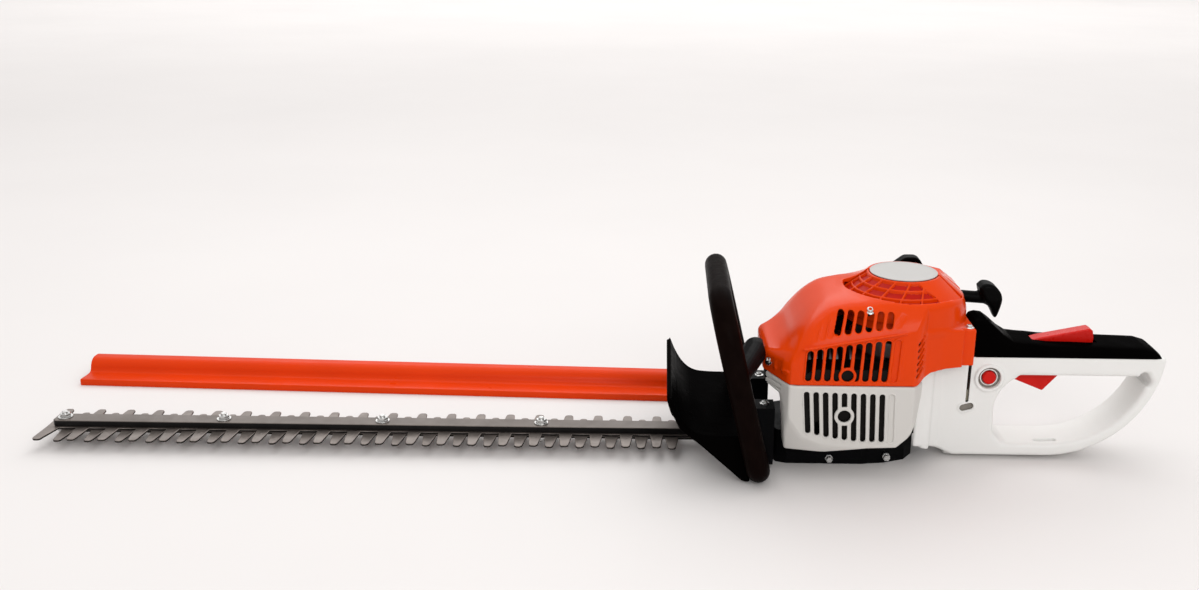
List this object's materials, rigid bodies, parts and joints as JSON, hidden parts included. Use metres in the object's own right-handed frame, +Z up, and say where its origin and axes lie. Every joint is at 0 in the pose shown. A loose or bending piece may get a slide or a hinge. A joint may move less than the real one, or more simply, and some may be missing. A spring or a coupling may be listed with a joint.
{
  "type": "hedge trimmer",
  "caption": "Petrol hedge trimmer with a double-sided reciprocating blade, front loop handle with hand guard, closed rear handle, recoil starter and separate blade scabbard.",
  "frame": {"origin": "centre of the crankshaft's axis on the flat underside of the gear cover", "axes": "+X along the machine from the blade's tip to the rear handle, +Y away from the muffler side, +Z up"},
  "size_m": [1.1292, 0.3171, 0.1852],
  "materials": {
    "blade_steel": "ground steel with a brownish oil film",
    "bar_steel": "grey steel",
    "zinc": "zinc-plated",
    "gear_steel": "machined steel",
    "black_casting": "black powder-coated casting",
    "cast_aluminium": "die-cast",
    "muffler_steel": "heat-tinted sheet",
    "orange_plastic": "glossy moulded",
    "scabbard_plastic": "extruded, satin",
    "white_plastic": "fine-textured moulded",
    "badge_white": "smooth",
    "black_plastic": "fine-textured moulded",
    "black_gloss": "smooth moulded",
    "handle_grip": "soft foam-like sleeve",
    "black_rubber": "matt",
    "red_plastic": "glossy moulded",
    "tank_plastic": "translucent",
    "primer_clear": "translucent",
    "filter_felt": "felt",
    "rope_fibre": "braided",
    "spring_steel": "oiled",
    "pulley_plastic": "moulded",
    "brass": "machined",
    "ceramic": "glazed"
  },
  "bodies": {
    "machine": {"guide_bar": "bar_steel", "bar_screws": "zinc", "gear_housing": "black_casting", "gear_cover": "black_casting", "gear_cover_screws": "zinc", "gear_bearings": "gear_steel", "crankcase": "cast_aluminium", "crank_bearings": "gear_steel", "connecting_rod": "gear_steel", "piston": "cast_aluminium", "cylinder": "cast_aluminium", "spark_plug": "ceramic", "plug_boot": "black_rubber", "ignition_module": "black_plastic", "ignition_lead": "black_rubber", "muffler": "muffler_steel", "intake_manifold": "black_rubber", "carburettor": "cast_aluminium", "throttle_cable": "black_plastic", "air_box": "black_plastic", "air_filter": "filter_felt", "starter_cover": "orange_plastic", "starter_badge": "badge_white", "recoil_spring": "spring_steel", "engine_shroud": "orange_plastic", "muffler_cover": "white_plastic", "housing_screws": "zinc", "rear_housing": "white_plastic", "grip_cover": "black_gloss", "fuel_tank": "tank_plastic", "rubber_buffers": "black_rubber", "trigger_spring": "spring_steel", "hinge_pins": "gear_steel", "front_handle": "handle_grip", "handle_bracket": "black_casting", "hand_guard": "black_gloss"},
    "upper_blade_body": {"upper_blade": "blade_steel"},
    "lower_blade_body": {"lower_blade": "blade_steel"},
    "drive_gear_body": {"drive_gear": "gear_steel"},
    "clutch_drum_body": {"clutch_drum": "gear_steel"},
    "crank_body": {"crankshaft": "gear_steel", "big_end_bearing": "gear_steel", "flywheel": "cast_aluminium", "clutch_hub": "gear_steel"},
    "shoe_right_body": {"clutch_shoe_right": "gear_steel"},
    "shoe_left_body": {"clutch_shoe_left": "gear_steel"},
    "pull_handle_body": {"starter_grip": "black_plastic", "starter_rope": "rope_fibre"},
    "pulley_body": {"starter_pulley": "pulley_plastic"},
    "trigger_body": {"throttle_trigger": "red_plastic"},
    "throttle_shaft_body": {"throttle_shaft": "brass"},
    "lockout_body": {"lockout_lever": "red_plastic"},
    "stop_button_body": {"stop_button": "red_plastic"},
    "choke_body": {"choke_knob": "black_plastic"},
    "primer_body": {"primer_bulb": "primer_clear"},
    "filter_cover_body": {"filter_cover": "black_plastic"},
    "filter_knob_body": {"filter_knob": "black_plastic"},
    "cap_tether_body": {"cap_tether": "black_plastic"},
    "fuel_cap_body": {"fuel_cap": "black_plastic"},
    "scabbard_body": {"scabbard": "scabbard_plastic"}
  },
  "joints": [
    {"name": "drive_gear_turn", "type": "hinge", "parent": "machine", "child": "drive_gear_body", "pos_m": [-0.03975, 0, 0.02], "axis": [0, 0, 1], "range_deg": [-90, 90]},
    {"name": "upper_blade_slide", "type": "slide", "parent": "machine", "child": "upper_blade_body", "axis": [1, 0, 0], "range_m": [-0.00751, 0.00751]},
    {"name": "lower_blade_slide", "type": "slide", "parent": "machine", "child": "lower_blade_body", "axis": [1, 0, 0], "range_m": [-0.00751, 0.00751]},
    {"name": "clutch_drum_turn", "type": "hinge", "parent": "machine", "child": "clutch_drum_body", "pos_m": [0, 0, 0.04], "axis": [0, 0, 1], "range_deg": [-441, 441]},
    {"name": "crankshaft_spin", "type": "hinge", "parent": "machine", "child": "crank_body", "pos_m": [0, 0, 0.08], "axis": [0, 0, 1], "continuous": true},
    {"name": "shoe_right_swing_out", "type": "slide", "parent": "crank_body", "child": "shoe_right_body", "axis": [0, 1, 0], "range_m": [0, 0.0015], "stiffness_N_per_m": 2000},
    {"name": "shoe_left_swing_out", "type": "slide", "parent": "crank_body", "child": "shoe_left_body", "axis": [0, -1, 0], "range_m": [0, 0.0015], "stiffness_N_per_m": 2000},
    {"name": "starter_pull", "type": "slide", "parent": "machine", "child": "pull_handle_body", "axis": [1, 0, 0], "range_m": [0, 0.09], "stiffness_N_per_m": 60, "springref_m": -0.05},
    {"name": "pulley_turn", "type": "hinge", "parent": "machine", "child": "pulley_body", "pos_m": [0, 0, 0.152], "axis": [0, 0, -1], "range_deg": [0, 210]},
    {"name": "trigger_pull", "type": "hinge", "parent": "machine", "child": "trigger_body", "pos_m": [0.114, 0, 0.092], "axis": [0, -1, 0], "range_deg": [0, 18], "stiffness_Nm_per_rad": 0.3, "springref_deg": -17.19},
    {"name": "throttle_shaft_turn", "type": "hinge", "parent": "machine", "child": "throttle_shaft_body", "pos_m": [-0.06, 0.072, 0.082], "axis": [0, 0, 1], "range_deg": [0, 71]},
    {"name": "lockout_press", "type": "hinge", "parent": "machine", "child": "lockout_body", "pos_m": [0.126, 0, 0.115], "axis": [0, 1, 0], "range_deg": [0, 12], "stiffness_Nm_per_rad": 0.3, "springref_deg": -17.19},
    {"name": "stop_press", "type": "slide", "parent": "machine", "child": "stop_button_body", "axis": [0, 1, 0], "range_m": [0, 0.003], "stiffness_N_per_m": 400, "springref_m": -0.002},
    {"name": "choke_turn", "type": "hinge", "parent": "machine", "child": "choke_body", "pos_m": [-0.064, 0.088, 0.076], "axis": [0, 1, 0], "range_deg": [0, 90]},
    {"name": "primer_press", "type": "slide", "parent": "machine", "child": "primer_body", "axis": [0, -1, 0], "range_m": [0, 0.005], "stiffness_N_per_m": 300, "springref_m": -0.002},
    {"name": "filter_cover_off", "type": "slide", "parent": "machine", "child": "filter_cover_body", "axis": [0, 1, 0], "range_m": [0, 0.08]},
    {"name": "filter_knob_turn", "type": "hinge", "parent": "filter_cover_body", "child": "filter_knob_body", "pos_m": [0, 0.105, 0.12], "axis": [0, 1, 0], "continuous": true},
    {"name": "cap_tether_out", "type": "slide", "parent": "machine", "child": "cap_tether_body", "axis": [0, 1, 0], "range_m": [0, 0.03]},
    {"name": "fuel_cap_turn", "type": "hinge", "parent": "cap_tether_body", "child": "fuel_cap_body", "pos_m": [0.066, 0.03, 0.044], "axis": [0, 1, 0], "range_deg": [0, 90]},
    {"name": "scabbard_lift", "type": "slide", "parent": "machine", "child": "scabbard_body", "axis": [0, 0, 1], "range_m": [0, 0.15]}
  ],
  "couplings": [
    {"joint": "upper_blade_slide", "follows": "drive_gear_turn", "m_per_rad": -0.0047746},
    {"joint": "lower_blade_slide", "follows": "drive_gear_turn", "m_per_rad": 0.0047746},
    {"joint": "clutch_drum_turn", "follows": "drive_gear_turn", "ratio": -4.8889},
    {"joint": "shoe_left_swing_out", "follows": "shoe_right_swing_out", "ratio": 1},
    {"joint": "pulley_turn", "follows": "starter_pull", "rad_per_m": 40},
    {"joint": "throttle_shaft_turn", "follows": "trigger_pull", "ratio": 3.8889}
  ]
}
